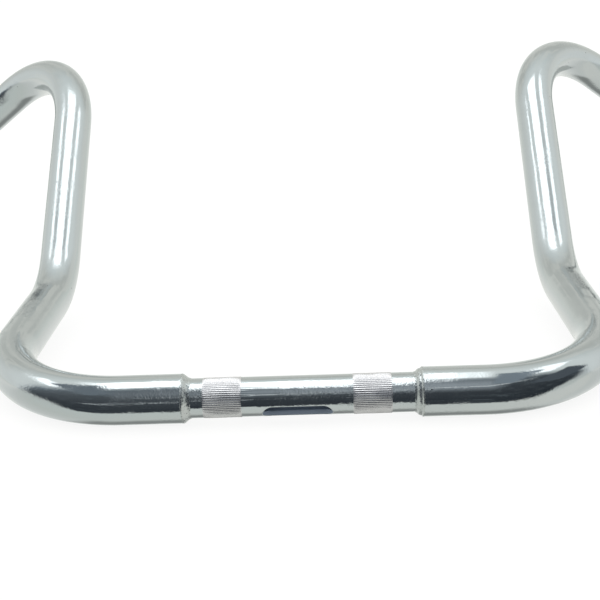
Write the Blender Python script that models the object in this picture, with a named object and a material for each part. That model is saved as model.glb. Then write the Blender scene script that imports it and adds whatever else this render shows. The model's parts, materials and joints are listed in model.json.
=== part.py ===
"""Chromed "bagger ape" motorcycle handlebar, welded up from five telescoping steel tubes.

A narrow clamp tube sits in the middle. It carries two straight-knurled bands for the riser clamps, and a
slot for the wiring loom. On each side it slips into a fat bent tube, and a weld ring closes the step. The
outer end of each fat tube takes a narrow grip tube in the same way.

Frame: metres. The bar lies on a bench as it does off the motorcycle, on the side tubes beside its clamp
tube and on the ends of its grips. The origin is the middle of the clamp tube, on its axis. +X runs along
the clamp tube to the rider's left, +Y from the clamp tube towards the grips, and +Z straight up from the
bench. The side tubes are mirror images of each other about a plane a little to the left of the origin,
because the clamp tube is welded in off their middle.

The bends are laid down in the riding position instead, where the uprights stand along +Z and the grips
point back along +Y. The empty "bench" then tips the whole bar back about X, until it lies on the bench.
"""

import math

import bmesh
import bpy
from mathutils import Vector

MM = 0.001

# Tube stock
NARROW_OD = 25.4 * MM  # clamp tube and grip tubes
NARROW_WALL = 3.0 * MM
FAT_OD = 31.75 * MM  # bent side tubes
SLIP_GAP = 0.35 * MM  # radial play of a narrow tube in the bore of a fat one
SPIGOT = 34.0 * MM  # how far a narrow tube reaches into a fat one
SPIGOT_TO_BEND = 2.4 * MM  # straight fat tube left past the deeper of two spigots

# Clamp tube
CLAMP_BARE_LENGTH = 141.4 * MM  # between the feet of the two weld rings
CLAMP_SHIFT = 3.2 * MM  # from the middle of the clamp tube to the middle between its weld rings
KNURL_SPACING = 95.0 * MM  # between the middles of the two bands, as the riser clamps stand
KNURL_WIDTH = 24.5 * MM
KNURL_RIDGES = 60
KNURL_CREST = 0.2 * MM  # above the tube
KNURL_ROOT = 0.1 * MM  # below the tube
KNURL_RUN_OUT = 0.5 * MM
SLOT_LENGTH = 44.45 * MM  # wiring slot, on the side that faces down when riding
SLOT_WIDTH = 12.7 * MM

# Weld rings, ground to a short cone
WELD_LENGTH = 5.8 * MM
WELD_FOOT = 0.25 * MM  # radial thickness left at the cone's foot
WELD_GAP = 0.3 * MM  # between a weld ring and the tubes that it joins

# Bends of the side tubes, all made on one die, with their angles in the riding position
BEND_RADIUS = 88.9 * MM
CORNER_ANGLE = math.radians(92.5)
LOWER_LEG_RISE = math.radians(50.6)  # above the horizontal
LOWER_LEG_STRAIGHT = 79.0 * MM
UPRIGHT_LEAN = math.radians(0.5)  # outwards
RISE = 406.4 * MM  # height of a grip tube's inner end above the clamp tube
GRIP_SPLAY = math.radians(50.0)  # outwards from straight back
GRIP_DROP = math.radians(8.0)

# Grip tubes
GRIP_BARE_LENGTH = 203.2 * MM
END_CHAMFER = 0.6 * MM
WIRE_HOLE_LENGTH = 16.0 * MM
WIRE_HOLE_WIDTH = 10.0 * MM
WIRE_HOLE_INSET = 22.0 * MM  # from the weld ring's foot to the hole's middle

# Facets
FAT_BEVEL_RESOLUTION = 14  # 32 sides
BEND_STEP = math.radians(10.0)
TURNED_SIDES = 32
SLOT_END_STEPS = 8

BENCH_TIP_PRECISION = math.radians(0.0001)

FAT_WALL = (FAT_OD - NARROW_OD) / 2 - SLIP_GAP
FAT_START = CLAMP_BARE_LENGTH / 2 + WELD_LENGTH  # from the middle between the weld rings to a side tube
STUB = SPIGOT + abs(CLAMP_SHIFT) + SPIGOT_TO_BEND  # straight fat tube beside a weld ring


def clear_scene():
    for obj in list(bpy.data.objects):
        bpy.data.objects.remove(obj)


def metal(name, colour, roughness):
    material = bpy.data.materials.new(name)
    material.use_nodes = True
    shader = material.node_tree.nodes["Principled BSDF"]
    shader.inputs["Base Color"].default_value = (*colour, 1.0)
    shader.inputs["Metallic"].default_value = 1.0
    shader.inputs["Roughness"].default_value = roughness
    return material


def link(name, data, parent, material=None):
    obj = bpy.data.objects.new(name, data)
    obj.parent = parent
    bpy.context.scene.collection.objects.link(obj)
    if material:
        data.materials.append(material)
    return obj


def smooth_by_angle(mesh):
    mesh.shade_smooth()
    mesh.set_sharp_from_angle(angle=math.radians(25))


# ---- Centreline ----------------------------------------------------------------------------------


class Centreline:
    """A bent tube's centreline, laid down as straights and bends, as a bender would make it."""

    def __init__(self, start, direction):
        self.points = [start]
        self.direction = direction

    @property
    def end(self):
        return self.points[-1]

    def straight(self, length):
        self.points.append(self.end + self.direction * length)

    def bend(self, direction):
        """Turns to the new direction on the common bend radius."""
        start = self.end
        heading = self.direction
        angle = heading.angle(direction)
        inward = (direction - heading * heading.dot(direction)).normalized()
        steps = math.ceil(angle / BEND_STEP)
        for i in range(1, steps + 1):
            turned = angle * i / steps
            along = heading * math.sin(turned)
            across = inward * (1 - math.cos(turned))
            self.points.append(start + (along + across) * BEND_RADIUS)
        self.direction = direction


def leg_directions(side):
    """Directions of the lower leg, the upright and the grip; side is 1 on the left and -1 on the right."""
    lower = Vector(
        (
            side * math.cos(CORNER_ANGLE),
            math.sin(CORNER_ANGLE) * math.cos(LOWER_LEG_RISE),
            math.sin(CORNER_ANGLE) * math.sin(LOWER_LEG_RISE),
        )
    )
    upright = Vector((side * math.sin(UPRIGHT_LEAN), 0.0, math.cos(UPRIGHT_LEAN)))
    grip = Vector(
        (
            side * math.sin(GRIP_SPLAY) * math.cos(GRIP_DROP),
            math.cos(GRIP_SPLAY) * math.cos(GRIP_DROP),
            -math.sin(GRIP_DROP),
        )
    )
    return lower, upright, grip


def upright_straight(foot_height, upright, grip):
    """Length of straight upright that brings the grip tube's inner end to RISE."""
    bend_reach = BEND_RADIUS * math.tan(upright.angle(grip) / 2)
    above = bend_reach * (upright.z + grip.z) + (STUB + WELD_LENGTH) * grip.z
    return (RISE - foot_height - above) / upright.z


def side_centreline(side):
    lower, upright, grip = leg_directions(side)
    line = Centreline(Vector((CLAMP_SHIFT + side * FAT_START, 0.0, 0.0)), Vector((side, 0.0, 0.0)))
    line.straight(STUB)
    line.bend(lower)
    line.straight(LOWER_LEG_STRAIGHT)
    line.bend(upright)
    line.straight(upright_straight(line.end.z, upright, grip))
    line.bend(grip)
    line.straight(STUB)
    return line


def bench_tip(line):
    """Angle, back from the riding position, at which the bar lies on its side tubes and its grip ends."""
    rim = line.end + line.direction * (WELD_LENGTH + GRIP_BARE_LENGTH - END_CHAMFER)
    least, most = 0.0, math.pi / 2
    while most - least > BENCH_TIP_PRECISION:
        tip = (least + most) / 2
        down = Vector((0.0, math.sin(tip), -math.cos(tip)))
        slope = down.dot(line.direction)
        reach = down.dot(rim) + NARROW_OD / 2 * math.sqrt(1 - slope * slope)
        if reach < FAT_OD / 2:
            least = tip
        else:
            most = tip
    return least


# ---- Shapes --------------------------------------------------------------------------------------


def bent_tube(name, line, parent, material):
    """A hollow tube along a centreline: a round curve, thickened inwards to the wall."""
    curve = bpy.data.curves.new(name, "CURVE")
    curve.dimensions = "3D"
    curve.bevel_depth = FAT_OD / 2
    curve.bevel_resolution = FAT_BEVEL_RESOLUTION
    curve.use_fill_caps = False
    spline = curve.splines.new("POLY")
    spline.points.add(len(line.points) - 1)
    for knot, point in zip(spline.points, line.points):
        knot.co = (*point, 1.0)
    spline.use_smooth = True
    obj = link(name, curve, parent, material)
    wall = obj.modifiers.new("wall", "SOLIDIFY")
    wall.thickness = FAT_WALL
    wall.offset = -1.0
    wall.use_even_offset = True
    return obj


def turned_mesh(name, profile, sides):
    """A closed outline of (distance along X, radius) points, spun about the X axis."""
    bm = bmesh.new()
    corners = [bm.verts.new((along, 0.0, radius)) for along, radius in profile]
    edges = [bm.edges.new((corners[i - 1], corners[i])) for i in range(len(corners))]
    bmesh.ops.spin(
        bm,
        geom=corners + edges,
        cent=(0.0, 0.0, 0.0),
        axis=(1.0, 0.0, 0.0),
        angle=2 * math.pi,
        steps=sides,
        use_merge=True,
    )
    bmesh.ops.recalc_face_normals(bm, faces=bm.faces)
    mesh = bpy.data.meshes.new(name)
    bm.to_mesh(mesh)
    bm.free()
    return mesh


def stadium_cutter(name, length, width, parent):
    """A prism with rounded ends, along X, from the axis out through a narrow tube's underside."""
    depth = NARROW_OD  # past the outer surface
    bm = bmesh.new()
    outline = []
    for end in (1, -1):
        for i in range(SLOT_END_STEPS + 1):
            angle = math.pi * (i / SLOT_END_STEPS - 0.5)
            x = end * ((length - width) / 2 + math.cos(angle) * width / 2)
            y = end * math.sin(angle) * width / 2
            outline.append(bm.verts.new((x, y, -depth)))
    floor = bm.faces.new(outline)
    walls = bmesh.ops.extrude_face_region(bm, geom=[floor])
    top = [item for item in walls["geom"] if isinstance(item, bmesh.types.BMVert)]
    bmesh.ops.translate(bm, verts=top, vec=(0.0, 0.0, depth))
    bmesh.ops.recalc_face_normals(bm, faces=bm.faces)
    mesh = bpy.data.meshes.new(name)
    bm.to_mesh(mesh)
    bm.free()
    cutter = link(name, mesh, parent)
    cutter.hide_render = True
    cutter.display_type = "WIRE"
    return cutter


def cut(obj, cutter):
    hole = obj.modifiers.new(cutter.name, "BOOLEAN")
    hole.operation = "DIFFERENCE"
    hole.object = cutter


# ---- Pieces --------------------------------------------------------------------------------------


def knurl_edges():
    """The stations along the clamp tube where a knurled band starts, is full, stops being full and ends."""
    stations = []
    for side in (-1, 1):
        middle = side * KNURL_SPACING / 2
        for offset in (-KNURL_WIDTH / 2, KNURL_WIDTH / 2):
            inward = -math.copysign(KNURL_RUN_OUT, offset)
            stations += [middle + offset, middle + offset + inward]
    return sorted(stations)


def press_knurl(mesh):
    """Inside the two bands, raises every other line of the clamp tube to a crest and sinks the rest."""
    pitch = math.pi / KNURL_RIDGES
    full = KNURL_WIDTH / 2 - KNURL_RUN_OUT
    for vertex in mesh.vertices:
        radius = math.hypot(vertex.co.y, vertex.co.z)
        from_band = abs(abs(vertex.co.x) - KNURL_SPACING / 2)
        if from_band > full + KNURL_RUN_OUT / 2 or radius < NARROW_OD / 2 - NARROW_WALL / 2:
            continue
        line = round(math.atan2(vertex.co.y, vertex.co.z) / pitch)
        pressed = radius + (KNURL_CREST if line % 2 else -KNURL_ROOT)
        vertex.co.y *= pressed / radius
        vertex.co.z *= pressed / radius


def clamp_tube(bench, material):
    outer = NARROW_OD / 2
    bore = outer - NARROW_WALL
    half = FAT_START + SPIGOT
    profile = [(-half, bore), (-half, outer)]
    profile += [(station, outer) for station in knurl_edges()]
    profile += [(half, outer), (half, bore)]
    mesh = turned_mesh("clamp_tube", profile, 2 * KNURL_RIDGES)
    press_knurl(mesh)
    smooth_by_angle(mesh)
    tube = link("clamp_tube", mesh, bench, material)
    cut(tube, stadium_cutter("wiring_slot", SLOT_LENGTH, SLOT_WIDTH, tube))


def grip_tube(name, bench, material):
    """A grip tube along its own +X, with its origin where the fat tube ends."""
    outer = NARROW_OD / 2
    bore = outer - NARROW_WALL
    end = WELD_LENGTH + GRIP_BARE_LENGTH
    profile = [
        (-SPIGOT, bore),
        (-SPIGOT, outer),
        (end - END_CHAMFER, outer),
        (end, outer - END_CHAMFER),
        (end, bore),
    ]
    mesh = turned_mesh(name, profile, TURNED_SIDES)
    smooth_by_angle(mesh)
    tube = link(name, mesh, bench, material)
    cutter = stadium_cutter(name + "_wire_hole", WIRE_HOLE_LENGTH, WIRE_HOLE_WIDTH, tube)
    cutter.location.x = WELD_LENGTH + WIRE_HOLE_INSET
    cut(tube, cutter)
    return tube


def weld_ring(name, bench, material):
    """A weld ring along its own +X, from the fat tube's end at its origin to its foot on the narrow tube."""
    inner = NARROW_OD / 2 + WELD_GAP
    profile = [
        (WELD_GAP, inner),
        (WELD_GAP, FAT_OD / 2),
        (WELD_LENGTH, inner + WELD_FOOT),
        (WELD_LENGTH, inner),
    ]
    mesh = turned_mesh(name, profile, TURNED_SIDES)
    smooth_by_angle(mesh)
    return link(name, mesh, bench, material)


def place(obj, point, direction):
    """Puts a turned piece's origin at the point, with its +X along the direction and its underside down."""
    obj.location = point
    obj.rotation_mode = "QUATERNION"
    obj.rotation_quaternion = direction.to_track_quat("X", "Z")


def main():
    clear_scene()
    bench = link("bench", None, None)
    bench.rotation_euler.x = -bench_tip(side_centreline(1))
    polished = metal("polished_chrome", (0.66, 0.68, 0.68), 0.08)
    knurled = metal("knurled_chrome", (0.64, 0.65, 0.65), 0.18)
    welded = metal("welded_chrome", (0.62, 0.64, 0.64), 0.22)

    clamp_tube(bench, knurled)
    for name, side in (("left", 1), ("right", -1)):
        line = side_centreline(side)
        inwards = Vector((-side, 0.0, 0.0))
        bent_tube("side_tube_" + name, line, bench, polished)
        place(weld_ring("clamp_weld_" + name, bench, welded), line.points[0], inwards)
        place(grip_tube("grip_tube_" + name, bench, polished), line.end, line.direction)
        place(weld_ring("grip_weld_" + name, bench, welded), line.end, line.direction)


main()
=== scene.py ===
"""Looks of a chromed ape-hanger handlebar that lies on a pale floor.

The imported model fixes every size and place. Its nine faceted nodes are replaced here by fine meshes of the
same sizes: bent tubes, a clamp tube with pressed knurling and a milled slot, grip tubes and rough ground
welds. The chrome gets its look from a studio that only gloss sees.
Everything is in metres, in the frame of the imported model.
"""

import json
import math

import bmesh
import bpy
import numpy as np
from mathutils import Euler, Matrix, Vector, noise


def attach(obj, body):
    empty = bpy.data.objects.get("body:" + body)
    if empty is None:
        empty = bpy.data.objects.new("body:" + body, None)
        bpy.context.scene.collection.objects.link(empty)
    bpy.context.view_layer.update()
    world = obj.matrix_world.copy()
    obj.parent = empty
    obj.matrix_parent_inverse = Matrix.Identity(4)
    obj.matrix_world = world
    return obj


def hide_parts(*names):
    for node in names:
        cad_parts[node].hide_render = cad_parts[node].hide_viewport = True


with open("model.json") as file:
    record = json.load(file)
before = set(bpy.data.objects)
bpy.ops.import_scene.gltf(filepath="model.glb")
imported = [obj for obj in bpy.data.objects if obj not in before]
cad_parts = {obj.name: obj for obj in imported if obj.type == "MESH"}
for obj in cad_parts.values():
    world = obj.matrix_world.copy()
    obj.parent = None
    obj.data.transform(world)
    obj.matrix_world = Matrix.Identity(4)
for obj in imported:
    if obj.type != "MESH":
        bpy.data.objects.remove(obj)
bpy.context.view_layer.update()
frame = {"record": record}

MM = 0.001

# Sizes of the bar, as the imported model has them
NARROW_OD = 25.4 * MM
NARROW_WALL = 3.0 * MM
FAT_OD = 31.75 * MM
FAT_WALL = 2.825 * MM
SPIGOT = 34.0 * MM
STUB = 39.6 * MM
WELD_LENGTH = 5.8 * MM
CLAMP_BARE_LENGTH = 141.4 * MM
CLAMP_SHIFT = 3.2 * MM  # from the middle of the clamp tube to the middle between its weld rings
KNURL_SPACING = 95.0 * MM
KNURL_WIDTH = 24.5 * MM
KNURL_RIDGES = 60
KNURL_EDGE = 0.5 * MM  # over which a band rises from the plain tube
KNURL_CREST = 0.2 * MM
KNURL_ROOT = 0.1 * MM
SLOT_LENGTH = 44.45 * MM
SLOT_WIDTH = 12.7 * MM
BEND_RADIUS = 88.9 * MM
CORNER_ANGLE = math.radians(92.5)
LOWER_LEG_RISE = math.radians(50.6)
LOWER_LEG_STRAIGHT = 79.0 * MM
UPRIGHT_LEAN = math.radians(0.5)
RISE = 406.4 * MM  # from the clamp tube's axis to the inner end of a grip tube, in the riding position
GRIP_SPLAY = math.radians(50.0)
GRIP_DROP = math.radians(8.0)
GRIP_BARE_LENGTH = 203.2 * MM
WIRE_HOLE_LENGTH = 16.0 * MM
WIRE_HOLE_WIDTH = 10.0 * MM
WIRE_HOLE_INSET = 22.0 * MM

FAT_START = CLAMP_BARE_LENGTH / 2 + WELD_LENGTH
FLOOR_LEVEL = -FAT_OD / 2

CEILING = 2.0  # metres, where the softboxes hang
FLAGS = 0.6  # metres, where the dark cards hang

# Fineness of the meshes
TUBE_SIDES = 96
BEND_STEP = math.radians(1.0)
RIDGE_STEPS = 6  # across a ridge of the knurling
BAND_STEPS = 22  # along a band of knurling
GRIP_SIDES = 192
WELD_SIDES = 288
WELD_STEPS = 40
SHARP_EDGE = math.radians(50)

# Material numbers of the faces
SKIN, BORE, KNURLING = 0, 1, 2


# ---- Helpers -------------------------------------------------------------------------------------


def linear(hex_colour):
    """A linear colour with alpha from sRGB hex such as C8CACA."""
    channels = [int(hex_colour[i : i + 2], 16) / 255 for i in (0, 2, 4)]
    return (*(c / 12.92 if c < 0.04045 else ((c + 0.055) / 1.055) ** 2.4 for c in channels), 1.0)


def add(tree, kind, inputs=None, out=None, stops=(), **settings):
    """Adds a node, and gives it back or, where it is named, one of its outputs.

    An input is a value, or the socket of another node to link it to. Stops are the (place, colour or share)
    pairs of a colour ramp.
    """
    node = tree.nodes.new("ShaderNode" + kind)
    for _ in stops[2:]:
        node.color_ramp.elements.new(0.5)
    for element, (place, colour) in zip(node.color_ramp.elements if stops else (), stops):
        element.position = place
        element.color = (colour, colour, colour, 1.0) if isinstance(colour, float) else colour
    for name, value in settings.items():
        setattr(node, name, value)
    for name, value in (inputs or {}).items():
        if isinstance(value, bpy.types.NodeSocket):
            tree.links.new(value, node.inputs[name])
        else:
            node.inputs[name].default_value = value
    return node.outputs[out] if out else node


def near(tree, value, middle, core, rim, full=1.0):
    """The full share where a value lies within the core of a middle value, fading to 0 at the rim."""
    off = add(tree, "Math", {0: value, 1: middle}, "Value", operation="SUBTRACT")
    off = add(tree, "Math", {0: off}, "Value", operation="ABSOLUTE")
    edge = {"Value": off, "From Min": rim, "From Max": core, "To Max": full}
    return add(tree, "MapRange", edge, "Result", interpolation_type="SMOOTHSTEP")


def new_object(name, data, *materials):
    for material in materials:
        data.materials.append(material)
    obj = bpy.data.objects.new(name, data)
    bpy.context.scene.collection.objects.link(obj)
    return obj


def smoothstep(low, high, value):
    t = np.clip((value - low) / (high - low), 0.0, 1.0)
    return t * t * (3 - 2 * t)


# ---- Centreline of the side tubes ----------------------------------------------------------------


class Centreline:
    """A bent tube's centreline, laid down as straights and bends, with the tube's direction at each point."""

    def __init__(self, start, direction):
        self.points = [start]
        self.directions = [direction]

    def straight(self, length):
        heading = self.directions[-1]
        self.points.append(self.points[-1] + heading * length)
        self.directions.append(heading)

    def bend(self, direction):
        start = self.points[-1]
        heading = self.directions[-1]
        angle = heading.angle(direction)
        inward = (direction - heading * heading.dot(direction)).normalized()
        steps = math.ceil(angle / BEND_STEP)
        for i in range(1, steps + 1):
            turned = angle * i / steps
            along, across = math.sin(turned), 1 - math.cos(turned)
            self.points.append(start + (heading * along + inward * across) * BEND_RADIUS)
            self.directions.append(heading * math.cos(turned) + inward * math.sin(turned))


def grip_direction(side):
    """The grip's direction in the riding position."""
    return Vector(
        (
            side * math.sin(GRIP_SPLAY) * math.cos(GRIP_DROP),
            math.cos(GRIP_SPLAY) * math.cos(GRIP_DROP),
            -math.sin(GRIP_DROP),
        )
    )


def bench_turn():
    """The turn from the riding position to the bench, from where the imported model's left bar end points."""
    mounts = {mount["name"]: mount for mount in frame["record"]["mounts"]}
    lying = mounts["left_bar_end"]["axis"]
    riding = grip_direction(1)
    angle = math.atan2(lying[2], lying[1]) - math.atan2(riding.z, riding.y)
    return Matrix.Rotation(angle, 3, "X")


def side_centreline(side):
    """Side is 1 on the left of the bar and -1 on its right."""
    turn = bench_turn()
    lower = Vector(
        (
            side * math.cos(CORNER_ANGLE),
            math.sin(CORNER_ANGLE) * math.cos(LOWER_LEG_RISE),
            math.sin(CORNER_ANGLE) * math.sin(LOWER_LEG_RISE),
        )
    )
    upright = Vector((side * math.sin(UPRIGHT_LEAN), 0.0, math.cos(UPRIGHT_LEAN)))
    grip = grip_direction(side)
    line = Centreline(Vector((CLAMP_SHIFT + side * FAT_START, 0.0, 0.0)), Vector((side, 0.0, 0.0)))
    line.straight(STUB)
    line.bend(turn @ lower)
    line.straight(LOWER_LEG_STRAIGHT)
    line.bend(turn @ upright)
    foot_height = (turn.inverted() @ line.points[-1]).z
    bend_reach = BEND_RADIUS * math.tan(upright.angle(grip) / 2)
    above = bend_reach * (upright.z + grip.z) + (STUB + WELD_LENGTH) * grip.z
    line.straight((RISE - foot_height - above) / upright.z)
    line.bend(turn @ grip)
    line.straight(STUB)
    return line


# ---- Meshes --------------------------------------------------------------------------------------


def mesh_of(name, points, faces, slots):
    """A closed mesh, shaded smooth but for its sharp edges. Slots are its faces' material numbers."""
    mesh = bpy.data.meshes.new(name)
    mesh.from_pydata(points, [], faces)
    mesh.polygons.foreach_set("material_index", slots)
    bm = bmesh.new()
    bm.from_mesh(mesh)
    loose = [vertex for vertex in bm.verts if not vertex.link_faces]
    bmesh.ops.delete(bm, geom=loose, context="VERTS")
    bmesh.ops.recalc_face_normals(bm, faces=bm.faces)
    bm.to_mesh(mesh)
    bm.free()
    mesh.shade_smooth()
    mesh.set_sharp_from_angle(angle=SHARP_EDGE)
    return mesh


def bridge(first, second):
    """Quads between two closed rows of vertex numbers."""
    n = len(first)
    return [(first[i], first[(i + 1) % n], second[(i + 1) % n], second[i]) for i in range(n)]


def bent_tube_mesh(name, line):
    """Outer skin and bore swept along the centreline without twist, joined by a ring at both ends."""
    normal = line.directions[0].orthogonal().normalized()
    rings = {FAT_OD / 2: [], FAT_OD / 2 - FAT_WALL: []}
    points = []
    for point, heading in zip(line.points, line.directions):
        normal = (normal - heading * normal.dot(heading)).normalized()
        across = heading.cross(normal)
        for radius, row in rings.items():
            row.append(range(len(points), len(points) + TUBE_SIDES))
            for i in range(TUBE_SIDES):
                turn = 2 * math.pi * i / TUBE_SIDES
                points.append(point + (normal * math.cos(turn) + across * math.sin(turn)) * radius)
    skin, bore = rings.values()
    faces, slots = [], []
    for rows, slot in ((skin, SKIN), (bore, BORE)):
        for first, second in zip(rows, rows[1:]):
            faces += bridge(first, second)
            slots += [slot] * TUBE_SIDES
    for end in (0, -1):
        faces += bridge(skin[end], bore[end])
        slots += [SKIN] * TUBE_SIDES
    return mesh_of(name, points, faces, slots)


class SlottedTube:
    """A straight tube along X with a slot in its underside, on a grid of stations and lines round it."""

    LIP = 0.5 * MM  # the slot's edge is broken by hand to about this radius
    MARGIN = 4.0 * MM  # from the slot to the rim of the window that it is fitted into
    WINDOW_STEP = 0.8 * MM
    TOO_CLOSE = 0.1 * MM  # for another station beside the window

    def __init__(self, name, sides, stations, skin_radius, slot_middle, slot_length, slot_width):
        self.name = name
        self.sides = sides
        self.skin_radius = skin_radius  # function of arrays (station, angle from the underside)
        self.radius = NARROW_OD / 2
        self.bore = NARROW_OD / 2 - NARROW_WALL
        self.middle = slot_middle
        self.half_straight = (slot_length - slot_width) / 2
        self.half_width = slot_width / 2
        reach = slot_length / 2 + self.MARGIN
        steps = round(2 * reach / self.WINDOW_STEP)
        window = slot_middle + np.linspace(-reach, reach, steps + 1)
        outside = [x for x in stations if abs(x - slot_middle) > reach + self.TOO_CLOSE]
        self.stations = np.array(sorted([*outside, *window]))
        self.window_rows = [int(np.argmin(abs(self.stations - x))) for x in (window[0], window[-1])]
        wide = math.asin((self.half_width + 2 * self.LIP) / self.bore)
        columns = math.ceil(wide / (2 * math.pi / sides))
        self.window_columns = (sides // 2 - columns, sides // 2 + columns)
        self.angles = (np.arange(sides) - sides // 2) * 2 * math.pi / sides

    def grid(self, radius):
        along, round_it = np.meshgrid(self.stations, self.angles, indexing="ij")
        r = radius(along, round_it) if callable(radius) else np.full(along.shape, radius)
        return np.stack([along, r * np.sin(round_it), -r * np.cos(round_it)], axis=-1)

    def window_rim(self):
        """(row, column) of the grid points round the window, in order."""
        low, high = self.window_rows
        left, right = self.window_columns
        return (
            [(low, j) for j in range(left, right)]
            + [(i, right) for i in range(low, high)]
            + [(high, j) for j in range(right, left, -1)]
            + [(i, left) for i in range(high, low, -1)]
        )

    def slot_ring(self, rim, offset, radius, blend=0.0):
        """The slot's outline, grown by offset, at a radius; blend moves it towards the window's rim."""
        along, across = rim[:, 0] - self.middle, rim[:, 1]
        centre = np.clip(along, -self.half_straight, self.half_straight)
        away = np.stack([along - centre, across], axis=-1)
        away /= np.linalg.norm(away, axis=1)[:, None]
        x = centre + away[:, 0] * (self.half_width + offset)
        y = away[:, 1] * (self.half_width + offset)
        x, y = x + (along - x) * blend, y + (across - y) * blend
        return np.stack([x + self.middle, y, -np.sqrt(radius**2 - y**2)], axis=-1)

    def mesh(self):
        rows, sides = len(self.stations), self.sides
        skin, bore = self.grid(self.skin_radius), self.grid(self.bore)
        number = np.arange(rows * sides).reshape(rows, sides)
        rim_places = self.window_rim()
        rim = np.array([skin[place] for place in rim_places])
        bore_rim = np.array([bore[place] for place in rim_places])
        rings = [self.slot_ring(rim, self.LIP, self.radius, blend) for blend in (0.7, 0.45, 0.25, 0.1)]
        for turn in np.linspace(0, math.pi / 2, 6):
            offset = self.LIP * (1 - math.sin(turn))
            rings.append(self.slot_ring(rim, offset, self.radius - self.LIP * (1 - math.cos(turn))))
        chromed = len(rings)
        rings += [self.slot_ring(rim, 0.0, r) for r in np.linspace(self.radius - self.LIP, self.bore, 5)[1:]]
        rings += [self.slot_ring(bore_rim, 0.0, self.bore, blend) for blend in (0.3, 0.65)]
        points = np.concatenate([skin.reshape(-1, 3), bore.reshape(-1, 3), *rings])

        faces, slots = [], []
        low, high = self.window_rows
        left, right = self.window_columns
        for first, slot in ((0, SKIN), (rows * sides, BORE)):
            for i in range(rows - 1):
                for j in range(sides):
                    if low <= i < high and left <= j < right:
                        continue
                    k = (j + 1) % sides
                    faces.append(tuple(first + number[a] for a in ((i, j), (i, k), (i + 1, k), (i + 1, j))))
                    slots.append(slot)
        for row in (0, rows - 1):
            faces += bridge(number[row], number[row] + rows * sides)
            slots += [SKIN] * sides
        loops = [np.array([number[place] for place in rim_places])]
        loops += [2 * rows * sides + i * len(rim) + np.arange(len(rim)) for i in range(len(rings))]
        loops.append(loops[0] + rows * sides)
        for i, (first, second) in enumerate(zip(loops, loops[1:])):
            faces += bridge(first, second)
            slots += [SKIN if i < chromed else BORE] * len(rim)
        return mesh_of(self.name, points.tolist(), [tuple(map(int, face)) for face in faces], slots)


def knurled_radius(along, angle):
    """The clamp tube's skin: rows of ridges pressed into two bands, of uneven depth, over a plain tube."""
    from_middle = abs(abs(along) - KNURL_SPACING / 2)
    band = 1 - smoothstep(KNURL_WIDTH / 2 - KNURL_EDGE, KNURL_WIDTH / 2, from_middle)
    pressed = band > 0
    depth, drift = np.zeros(along.shape), np.zeros(along.shape)
    for i, j in zip(*np.nonzero(pressed)):
        x, turn = along[i, j] / MM, angle[i, j]
        place = Vector((x, 13 * math.cos(turn), 13 * math.sin(turn)))
        depth[i, j] = noise.noise(place * 0.1)
        drift[i, j] = noise.noise(Vector((x * 0.08, 0.0, 0.0))) * 0.12
    ridge = 0.5 + 0.5 * np.cos(KNURL_RIDGES * angle + drift * 2 * math.pi)
    height = -KNURL_ROOT + (KNURL_CREST + KNURL_ROOT) * ridge * (0.85 + 0.5 * depth)
    return NARROW_OD / 2 + band * np.minimum(height, KNURL_CREST)


def clamp_tube_mesh():
    half = FAT_START + SPIGOT
    stations = {-half, half, -FAT_START, FAT_START}
    for side in (-1, 1):
        middle = side * KNURL_SPACING / 2
        stations |= set(middle + np.linspace(-KNURL_WIDTH / 2, KNURL_WIDTH / 2, BAND_STEPS + 1))
        stations |= {middle + end * (KNURL_WIDTH / 2 - KNURL_EDGE / 2) for end in (-1, 1)}
        # The plain tube beyond the band
        stations |= set(side * np.arange(62.0, 110.0, 4.0) * MM)
    sides = KNURL_RIDGES * RIDGE_STEPS
    return SlottedTube(
        "clamp_tube", sides, sorted(stations), knurled_radius, 0.0, SLOT_LENGTH, SLOT_WIDTH
    ).mesh()


def grip_tube_mesh(name):
    chamfer = 0.6 * MM
    end = WELD_LENGTH + GRIP_BARE_LENGTH

    def radius(along, _):
        return NARROW_OD / 2 - np.clip(along - (end - chamfer), 0.0, chamfer)

    stations = [-SPIGOT, *np.arange(-32.0, 204.0, 6.0) * MM, end - chamfer, end]
    hole = WELD_LENGTH + WIRE_HOLE_INSET
    return SlottedTube(name, GRIP_SIDES, stations, radius, hole, WIRE_HOLE_LENGTH, WIRE_HOLE_WIDTH).mesh()


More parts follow.
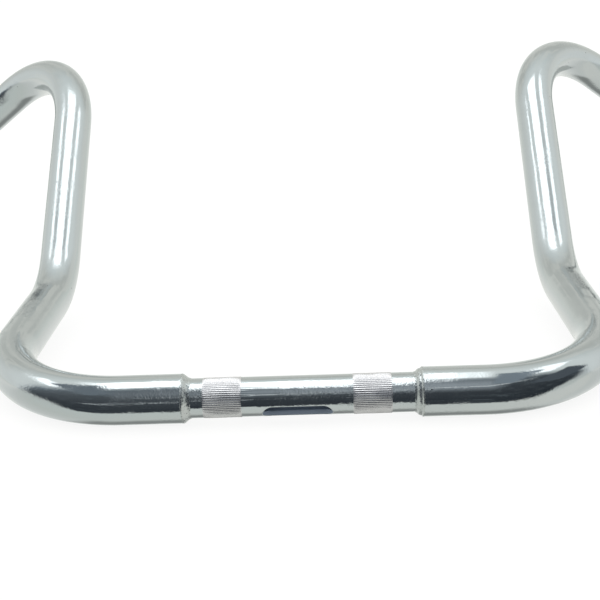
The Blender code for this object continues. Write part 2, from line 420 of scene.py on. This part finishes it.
def weld_mesh(name, seed, bead=0.0):
    """A weld ground down to a short cone: lumpy, with a raised toe on the narrow tube.

    Where the grinder left some of its bead, that stands up this much beside a groove at the fat tube's end.
    """
    sink = 0.4 * MM
    toe = WELD_LENGTH + 0.2 * MM
    outline = [
        (-0.6 * MM, FAT_OD / 2 - sink),
        (-0.2 * MM, FAT_OD / 2 + 0.02 * MM),
        (0.3 * MM, FAT_OD / 2 + 0.04 * MM),
        (0.9 * MM, FAT_OD / 2 - 0.05 * MM),
        (1.5 * MM, FAT_OD / 2 - 0.45 * MM),
        (toe - 2.4 * MM, NARROW_OD / 2 + 0.95 * MM),
        (toe - 1.4 * MM, NARROW_OD / 2 + 0.35 * MM),
        (toe - 0.6 * MM, NARROW_OD / 2 + 0.12 * MM),
        (toe, NARROW_OD / 2 - 0.05 * MM),
        (toe + 0.3 * MM, NARROW_OD / 2 - sink),
    ]
    fine = np.linspace(outline[0][0], outline[-1][0], WELD_STEPS)
    spread = np.interp(fine, *zip(*outline))
    for _ in range(2):
        spread[1:-1] = np.convolve(spread, [0.25, 0.5, 0.25], mode="same")[1:-1]
    crest_place, crest_reach = 3.4 * MM, 0.9 * MM
    groove_place, groove_reach, groove_share = 1.5 * MM, 0.5 * MM, 0.8
    crest = np.exp(-(((fine - crest_place) / crest_reach) ** 2))
    groove = np.exp(-(((fine - groove_place) / groove_reach) ** 2))
    spread += bead * (crest - groove_share * groove)
    points, rings = [], []
    for x, r in zip(fine, spread):
        rings.append(range(len(points), len(points) + WELD_SIDES))
        free = smoothstep(-0.6 * MM, 0.6 * MM, x) * (1 - smoothstep(toe - 0.4 * MM, toe + 0.3 * MM, x))
        for i in range(WELD_SIDES):
            turn = 2 * math.pi * i / WELD_SIDES
            place = Vector((x / MM, r / MM * math.sin(turn), r / MM * math.cos(turn))) + Vector((seed, 0, 0))
            # Lumps and grain in millimetres
            lump = 0.16 * noise.noise(place * 0.3) + 0.12 * noise.noise(place * 0.8)
            grain = 0.05 * noise.noise(place * 2.0)
            radius = r + (lump + grain) * free * MM
            points.append((x, radius * math.sin(turn), -radius * math.cos(turn)))
    inner = NARROW_OD / 2 - 2 * sink
    for x in (fine[-1], fine[0]):
        rings.append(range(len(points), len(points) + WELD_SIDES))
        for i in range(WELD_SIDES):
            turn = 2 * math.pi * i / WELD_SIDES
            points.append((x, inner * math.sin(turn), -inner * math.cos(turn)))
    faces = []
    for first, second in zip(rings, rings[1:] + rings[:1]):
        faces += bridge(first, second)
    return mesh_of(name, points, faces, [SKIN] * len(faces))


# ---- Materials -----------------------------------------------------------------------------------


def metal(name, colour):
    """A material with a metal shader, and its tree, shader and the piece's own coordinates."""
    material = bpy.data.materials.new(name)
    material.use_nodes = True
    tree = material.node_tree
    shader = tree.nodes["Principled BSDF"]
    shader.inputs["Base Color"].default_value = linear(colour)
    shader.inputs["Metallic"].default_value = 1.0
    return material, tree, shader, add(tree, "TexCoord", out="Object")


def polished_chrome():
    """Chromium plate over buffed steel tube.

    Long soft waves from the polishing belt bend the reflections a little, orange peel breaks up their edges
    in patches, haze dulls a few spots, and small pits show as dark specks.
    """
    chrome, belt_wave, patch, peel_grain, pit_spacing = "C9CCCC", 15 * MM, 24 * MM, 1.3 * MM, 7 * MM
    material, tree, shader, place = metal("polished_chrome_plate", chrome)
    patches = add(tree, "TexNoise", {"Vector": place, "Scale": 1 / patch, "Detail": 2.0}, "Fac")
    grain = add(tree, "TexNoise", {"Vector": place, "Scale": 1 / peel_grain, "Detail": 3.0}, "Fac")
    patchy = {"Value": patches, "From Min": 0.42, "From Max": 0.6}
    haze = {"Value": grain, "From Min": 0.45, "From Max": 0.7}
    haze["To Max"] = add(tree, "MapRange", patchy, "Result")
    haze = add(tree, "MapRange", haze, "Result")
    rough = add(tree, "MapRange", {"Value": haze, "To Min": 0.07, "To Max": 0.24}, "Result")

    # Most cells of the pattern have no pit, and the others have one of up to half a millimetre's radius
    cells = add(tree, "TexVoronoi", {"Vector": place, "Scale": 1 / pit_spacing}).outputs
    lot = add(tree, "SeparateColor", {"Color": cells["Color"]}, "Red")
    size = add(tree, "MapRange", {"Value": lot, "From Min": 0.7, "To Max": 0.07}, "Result")
    pit = add(tree, "Math", {0: cells["Distance"], 1: size}, "Value", operation="LESS_THAN")
    pitted = {"Factor": pit, "A": linear(chrome), "B": linear("5C5F60")}
    looks = {"Base Color": add(tree, "Mix", pitted, "Result", data_type="RGBA")}
    looks["Roughness"] = add(tree, "Math", {0: pit, 1: 0.4, 2: rough}, "Value", operation="MULTIPLY_ADD")

    waves = add(tree, "TexNoise", {"Vector": place, "Scale": 1 / belt_wave, "Detail": 1.0}, "Fac")
    belt = add(tree, "Bump", {"Height": waves, "Strength": 1.0, "Distance": 0.14 * MM}, "Normal")
    depth = add(tree, "MapRange", {**patchy, "To Min": 0.15, "To Max": 1.15}, "Result")
    peel = add(tree, "Math", {0: grain, 1: depth}, "Value", operation="MULTIPLY")
    peel = {"Height": peel, "Normal": belt, "Strength": 1.0, "Distance": 0.11 * MM}
    looks["Normal"] = add(tree, "Bump", peel, "Normal")
    for name, socket in looks.items():
        tree.links.new(socket, shader.inputs[name])
    return material


def knurled_chrome():
    """Chromium plate over pressed knurling: duller and warmer than the tubes, as nobody polishes in there.

    The plate's grain is finer than this speck in truth. It is drawn coarse enough to break up the gloss.
    """
    speck = 1.6 * MM
    # The base colour E0DCDC is brighter than the tubes' chrome C9CCCC: painted sheen, standing in for the
    # light that the ridges of the knurling catch.
    material, tree, shader, place = metal("knurled_chrome_plate", "E0DCDC")
    specks = add(tree, "TexNoise", {"Vector": place, "Scale": 1 / speck, "Detail": 3.0}, "Fac")
    rough = {"Value": specks, "From Min": 0.35, "From Max": 0.7, "To Min": 0.25, "To Max": 0.42}
    tree.links.new(add(tree, "MapRange", rough, "Result"), shader.inputs["Roughness"])
    bump = add(tree, "Bump", {"Height": specks, "Strength": 1.0, "Distance": 0.02 * MM}, "Normal")
    tree.links.new(bump, shader.inputs["Normal"])
    return material


def ground_weld_chrome():
    """Chromium plate over a ground weld: grey satin with grinder marks, and dark pores opened by grinding.

    The marks of the grit are a few tenths of a millimetre wide in truth. They are drawn coarser, to show.
    """
    chrome, grind_mark, pore = "C8CAC8", 1.1 * MM, 1.7 * MM
    material, tree, shader, place = metal("ground_weld_chrome_plate", chrome)
    grain = add(tree, "TexNoise", {"Vector": place, "Scale": 1 / grind_mark, "Detail": 4.0}, "Fac")
    rough = {"Value": grain, "From Min": 0.3, "From Max": 0.7, "To Min": 0.18, "To Max": 0.42}
    tree.links.new(add(tree, "MapRange", rough, "Result"), shader.inputs["Roughness"])
    pores = add(tree, "TexNoise", {"Vector": place, "Scale": 1 / pore, "Detail": 2.0}, "Fac")
    pores = add(tree, "MapRange", {"Value": pores, "From Min": 0.66, "From Max": 0.72}, "Result")
    colour = {"Factor": pores, "A": linear(chrome), "B": linear("3C3E40")}
    tree.links.new(add(tree, "Mix", colour, "Result", data_type="RGBA"), shader.inputs["Base Color"])
    bump = add(tree, "Bump", {"Height": grain, "Strength": 1.0, "Distance": 0.12 * MM}, "Normal")
    tree.links.new(bump, shader.inputs["Normal"])
    return material


def blued_bore_steel():
    """The bore, which the plating bath hardly reaches: drawn steel with blue-grey mill scale, no mirror.

    The scale covers most of the metal, so little of it looks metallic, in flakes about as wide as this.
    """
    flake = 2.0 * MM
    material, tree, shader, place = metal("blued_bore_steel", "8F9CAA")
    shader.inputs["Metallic"].default_value = 0.2
    grain = add(tree, "TexNoise", {"Vector": place, "Scale": 1 / flake, "Detail": 3.0}, "Fac")
    rough = add(tree, "MapRange", {"Value": grain, "To Min": 0.5, "To Max": 0.8}, "Result")
    tree.links.new(rough, shader.inputs["Roughness"])
    return material


def light_table():
    """The opal acrylic top of a light table: lit from below as much as from above, so shadows stay faint."""
    material = bpy.data.materials.new("opal_acrylic_light_table")
    material.use_nodes = True
    shader = material.node_tree.nodes["Principled BSDF"]
    shader.inputs["Base Color"].default_value = linear("7C7C7A")
    shader.inputs["Roughness"].default_value = 0.9
    shader.inputs["Specular IOR Level"].default_value = 0.0
    shader.inputs["Emission Color"].default_value = (1.0, 1.0, 1.0, 1.0)
    shader.inputs["Emission Strength"].default_value = 0.85
    return material


# ---- Studio --------------------------------------------------------------------------------------
#
# Directions in the room are told by their turn round the X axis, in degrees from 0 towards the front over 90
# straight up to 180 at the back, and below the horizon from 0 down to -180, and by how far they lean along X.


def turned(degrees):
    """A direction's turn as a share of a full turn, from -180 degrees at 0 to 180 degrees at 1."""
    return degrees / 360 + 0.5


def around(stops):
    """Colour ramp stops for a full turn, from (degrees, colour or share) pairs."""
    return [(turned(at), value if isinstance(value, float) else linear(value)) for at, value in stops]


def pale_room(tree, direction, side, ahead, turn):
    """A pale table below and pale walls at the sides and behind."""
    walls = around([
        (-180, "E8EEEA"), (-160, "F8FAF7"), (-140, "EEF2F0"), (-120, "E4E8E6"), (-80, "DCE2DE"),
        (-45, "DCE4E1"), (0, "D4DAD8"), (70, "E4ECEE"), (95, "EEF6F6"), (112, "F4FCFC"), (125, "E4ECEC"),
        (140, "D0D4D0"), (160, "D2D6D2"), (180, "E8EEEA"),
    ])
    seen = add(tree, "ValToRGB", {"Fac": turn}, "Color", walls)

    # The ends of the room are lighter, high up
    high = {"Value": turn, "From Min": turned(60), "From Max": turned(120), "To Max": 0.8}
    high = add(tree, "MapRange", high, "Result")
    aside = add(tree, "Math", {0: side}, "Value", operation="ABSOLUTE")
    ends = {"Value": aside, "From Min": 0.55, "From Max": 0.9, "To Max": high}
    ends = add(tree, "MapRange", ends, "Result", interpolation_type="SMOOTHSTEP")
    ends = {"Factor": ends, "A": seen, "B": linear("F4FAFA")}
    seen = add(tree, "Mix", ends, "Result", data_type="RGBA")

    # The table is lit a little better towards the left
    left = {"Value": side, "From Min": -0.3, "From Max": 0.6, "To Max": 0.7}
    left = near(tree, turn, turned(-65), 0.06, 0.12, add(tree, "MapRange", left, "Result"))
    left = {"Factor": left, "A": seen, "B": linear("F0F2EE")}
    seen = add(tree, "Mix", left, "Result", data_type="RGBA")

    # Things at the back of the room have crisp wavy outlines
    blots = {"Vector": direction, "Scale": 4.5, "Detail": 3.0, "Distortion": 0.8}
    blots = {"Value": add(tree, "TexNoise", blots, "Fac"), "From Min": 0.50, "From Max": 0.53}
    blots["To Max"] = near(tree, ahead, -1.0, 0.4, 0.7, 0.45)
    blots = {"Factor": add(tree, "MapRange", blots, "Result"), "A": seen, "B": linear("F4F6F0")}
    seen = add(tree, "Mix", blots, "Result", data_type="RGBA")

    # The bar's own shade lies on the table, right below it
    shade = near(tree, turn, turned(-110), 0.02, 0.085, near(tree, side, 0.0, 0.28, 0.45))
    shade = {"Factor": shade, "A": seen, "B": linear("9A9E9C")}
    return add(tree, "Mix", shade, "Result", data_type="RGBA")


def dark_room(tree, direction, side, turn, seen):
    """A dark room in front: the table's front edge cuts it off, its sides lean outwards, its top fades."""
    room = around([
        (-60, "363C42"), (-10, "3F454B"), (12, "484E54"), (40, "555C62"), (60, "687077"), (80, "8896A0"),
    ])
    room = add(tree, "ValToRGB", {"Fac": turn}, "Color", room)
    left = {"Value": side, "From Min": -0.3, "From Max": 0.6, "To Max": 0.6}
    left = {"Factor": add(tree, "MapRange", left, "Result"), "A": room, "B": linear("262D34")}
    room = add(tree, "Mix", left, "Result", data_type="RGBA")
    clutter = {"Vector": direction, "Scale": 9.0, "Detail": 5.0, "Roughness": 0.7}
    clutter = {"Value": add(tree, "TexNoise", clutter, "Fac"), "From Min": 0.52, "From Max": 0.75}
    clutter = add(tree, "MapRange", {**clutter, "To Max": 0.35}, "Result")
    room = {"Factor": clutter, "A": room, "B": linear("9AA6AC")}
    room = add(tree, "Mix", room, "Result", data_type="RGBA")

    width = around([
        (-45, 0.55), (-35, 0.68), (-25, 0.79), (-15, 0.85), (-5, 0.91), (5, 0.94), (15, 0.97), (30, 0.985),
    ])
    width = add(tree, "ValToRGB", {"Fac": turn}, "Color", width)
    lean = add(tree, "Math", {0: side, 1: 0.02}, "Value", operation="ADD")
    lean = add(tree, "Math", {0: lean}, "Value", operation="ABSOLUTE")
    reach = add(tree, "Math", {0: width, 1: lean}, "Value", operation="SUBTRACT")
    share = add(tree, "MapRange", {"Value": reach, "From Min": -0.03, "From Max": 0.03}, "Result")
    for start, end in ((88, 68), (-42, -37)):
        edge = {"Value": turn, "From Min": turned(start), "From Max": turned(end), "To Max": share}
        share = add(tree, "MapRange", edge, "Result")
    return add(tree, "Mix", {"Factor": share, "A": seen, "B": room}, "Result", data_type="RGBA")


def glowing_ceiling(tree, direction, side, ahead, turn, seen):
    """The ceiling over the dark room: a soft glow beside the light, and two thin bright rails."""
    glow = add(tree, "CombineXYZ", {"X": side, "Y": turn}, "Vector")
    glow = add(tree, "VectorMath", {0: glow, 1: (0.06, turned(47), 0.0)}, "Vector", operation="SUBTRACT")
    glow = add(tree, "VectorMath", {0: glow, 1: (1 / 0.36, 1 / 0.1, 0.0)}, "Vector", operation="MULTIPLY")
    glow = add(tree, "VectorMath", {0: glow}, "Value", operation="LENGTH")
    glow = {"Factor": near(tree, glow, 0.0, 0.0, 1.0, 0.7), "A": seen, "B": linear("C2CCD4")}
    seen = add(tree, "Mix", glow, "Result", data_type="RGBA")

    # The second rail is broken up by things that hang in front of it
    frayed = add(tree, "TexNoise", {"Vector": direction, "Scale": 7.0, "Detail": 2.0}, "Fac")
    frayed = {"Value": frayed, "From Min": 0.38, "From Max": 0.52, "To Max": 0.7}
    frayed = add(tree, "MapRange", frayed, "Result")
    for across, start, end, strength in (
        ((-0.596, 0.437, 0.674), -0.16, 0.60, 1.0),
        ((0.0, 0.105, 0.995), -0.62, -0.05, frayed),
    ):
        middle, half = (start + end) / 2, (end - start) / 2
        off = add(tree, "VectorMath", {0: direction, 1: across}, "Value", operation="DOT_PRODUCT")
        front = add(tree, "MapRange", {"Value": ahead, "To Max": strength}, "Result")
        rail = near(tree, off, 0.0, 0.012, 0.032, near(tree, side, middle, half - 0.08, half, front))
        rail = {"Factor": rail, "A": seen, "B": linear("F0F8FC")}
        seen = add(tree, "Mix", rail, "Result", data_type="RGBA")
    return seen


def surroundings():
    """The room that the chrome mirrors. The camera and the floor see plain white instead, as lit paper."""
    world = bpy.data.worlds.new("studio")
    bpy.context.scene.world = world
    world.use_nodes = True
    tree = world.node_tree
    direction = add(tree, "TexCoord", out="Generated")
    part = add(tree, "SeparateXYZ", {"Vector": direction}).outputs
    side = part["X"]
    ahead = add(tree, "Math", {0: part["Y"], 1: -1.0}, "Value", operation="MULTIPLY")
    turn = add(tree, "Math", {0: part["Z"], 1: ahead}, "Value", operation="ARCTAN2")
    turn = add(tree, "MapRange", {"Value": turn, "From Min": -math.pi, "From Max": math.pi}, "Result")

    seen = pale_room(tree, direction, side, ahead, turn)
    seen = dark_room(tree, direction, side, turn, seen)
    seen = glowing_ceiling(tree, direction, side, ahead, turn, seen)

    plain = add(tree, "Background", {"Color": (1.0, 1.0, 1.0, 1.0), "Strength": 1.0}, "Background")
    mirrored = add(tree, "Background", {"Color": seen, "Strength": 1.0}, "Background")
    gloss = add(tree, "LightPath", out="Is Glossy Ray")
    either = add(tree, "MixShader", {"Fac": gloss, 1: plain, 2: mirrored}, "Shader")
    tree.links.new(either, tree.nodes["World Output"].inputs["Surface"])


def card(name, low, high, height, colour, radiance, fade):
    """A level card between two corners (x, y) that only the chrome sees: a softbox or a flag.

    It fades over this distance from its rim, as a softbox's cloth does.
    """
    size = Vector(high) - Vector(low)
    bm = bmesh.new()
    bmesh.ops.create_grid(bm, x_segments=1, y_segments=1, size=0.5)
    bmesh.ops.scale(bm, verts=bm.verts, vec=(*size, 1.0))
    mesh = bpy.data.meshes.new(name)
    bm.to_mesh(mesh)
    bm.free()
    material = bpy.data.materials.new(name)
    material.use_nodes = True
    tree = material.node_tree
    tree.nodes.clear()
    part = add(tree, "SeparateXYZ", {"Vector": add(tree, "TexCoord", out="Object")}).outputs
    lit = near(tree, part["X"], 0.0, size.x / 2 - fade, size.x / 2)
    lit = near(tree, part["Y"], 0.0, size.y / 2 - fade, size.y / 2, lit)
    clear = add(tree, "BsdfTransparent", out="BSDF")
    glow = add(tree, "Emission", {"Color": linear(colour), "Strength": radiance}, "Emission")
    both = add(tree, "MixShader", {"Fac": lit, 1: clear, 2: glow}, "Shader")
    add(tree, "OutputMaterial", {"Surface": both})
    obj = new_object(name, mesh, material)
    obj.location = (*((Vector(low) + Vector(high)) / 2), height)
    obj.visible_camera = obj.visible_diffuse = obj.visible_shadow = False


def make_camera():
    """A long lens in front of the bar and a little above it, looking down on it by 19 degrees."""
    camera = bpy.data.cameras.new("camera")
    camera.sensor_width = 36.0
    camera.lens = 68.69
    obj = bpy.data.objects.new("camera", camera)
    bpy.context.scene.collection.objects.link(obj)
    obj.location = (23.57 * MM, -670.37 * MM, 290.05 * MM)
    yaw, pitch, roll = (math.radians(a) for a in (1.667, -18.642, -2.352))
    aim = Euler((math.pi / 2 + pitch, 0.0, yaw)).to_matrix()
    obj.rotation_euler = (aim @ Matrix.Rotation(roll, 3, "Z")).to_euler()
    camera.clip_start, camera.clip_end = 0.01, 20.0
    bpy.context.scene.camera = obj


def make_floor():
    """The light table's top, which the chrome mirrors as part of the room and not as a plane."""
    bm = bmesh.new()
    bmesh.ops.create_grid(bm, x_segments=1, y_segments=1, size=6.0)
    mesh = bpy.data.meshes.new("floor")
    bm.to_mesh(mesh)
    bm.free()
    floor = new_object("floor", mesh, light_table())
    floor.location.z = FLOOR_LEVEL
    floor.visible_glossy = False


def hang_cards():
    """Softboxes over the bar, and the dark flags and wall that its uprights and elbows mirror."""
    cloth = "F6FCFF"
    card("middle_softbox", (-0.95, -0.50), (0.50, 1.00), CEILING, cloth, 2.4, 0.3)
    card("front_softbox", (-0.30, -1.05), (0.36, -0.10), CEILING + 0.02, cloth, 2.2, 0.25)
    card("left_softbox", (0.90, -0.25), (1.70, 0.95), CEILING, cloth, 1.9, 0.16)
    card("right_softbox", (-2.20, -0.25), (-1.40, 0.95), CEILING, cloth, 2.0, 0.16)
    card("left_flag", (0.22, -0.55), (0.49, 0.11), FLAGS, "8C98A2", 1.0, 0.05)
    card("right_flag", (-0.63, -0.55), (-0.25, 0.11), FLAGS, "78838C", 1.0, 0.05)
    card("left_wall", (0.70, -0.80), (1.60, 0.08), FLAGS, "586068", 1.0, 0.06)


# ---- The bar -------------------------------------------------------------------------------------


def stand_for(obj, node):
    """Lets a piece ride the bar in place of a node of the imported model."""
    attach(obj, "root")
    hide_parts(node)


def place_along(obj, point, direction, turn):
    """Lays a piece made along X along a direction of the bar, its underside down in the riding position."""
    riding = (turn.inverted() @ direction).to_track_quat("X", "Z").to_matrix()
    obj.data.transform(Matrix.Translation(point) @ (turn @ riding).to_4x4())


def make_bar():
    polished, knurled = polished_chrome(), knurled_chrome()
    weld, bore = ground_weld_chrome(), blued_bore_steel()
    turn = bench_turn()

    clamp = new_object("clamp_tube_chromed", clamp_tube_mesh(), polished, bore, knurled)
    for face in clamp.data.polygons:
        from_middle = abs(abs(face.center.x) - KNURL_SPACING / 2)
        if face.material_index == SKIN and from_middle < KNURL_WIDTH / 2:
            face.material_index = KNURLING
    place_along(clamp, Vector(), turn @ Vector((1.0, 0.0, 0.0)), turn)
    stand_for(clamp, "clamp_tube")

    for name, side, bead in (("left", 1, 0.5 * MM), ("right", -1, 0.0)):
        line = side_centreline(side)
        tube_name = f"side_tube_{name}"
        tube = new_object(tube_name + "_chromed", bent_tube_mesh(tube_name, line), polished, bore)
        stand_for(tube, tube_name)

        clamp_weld = new_object(
            f"clamp_weld_{name}_chromed", weld_mesh(f"clamp_weld_{name}", 11 * side, bead), weld
        )
        place_along(clamp_weld, line.points[0], Vector((-side, 0.0, 0.0)), turn)
        stand_for(clamp_weld, f"clamp_weld_{name}")

        grip = new_object(f"grip_tube_{name}_chromed", grip_tube_mesh(f"grip_tube_{name}"), polished, bore)
        place_along(grip, line.points[-1], line.directions[-1], turn)
        stand_for(grip, f"grip_tube_{name}")

        grip_weld = new_object(f"grip_weld_{name}_chromed", weld_mesh(f"grip_weld_{name}", 23 * side), weld)
        place_along(grip_weld, line.points[-1], line.directions[-1], turn)
        stand_for(grip_weld, f"grip_weld_{name}")


bpy.context.scene.view_settings.view_transform = "Standard"
make_camera()
make_bar()
make_floor()
surroundings()
hang_cards()
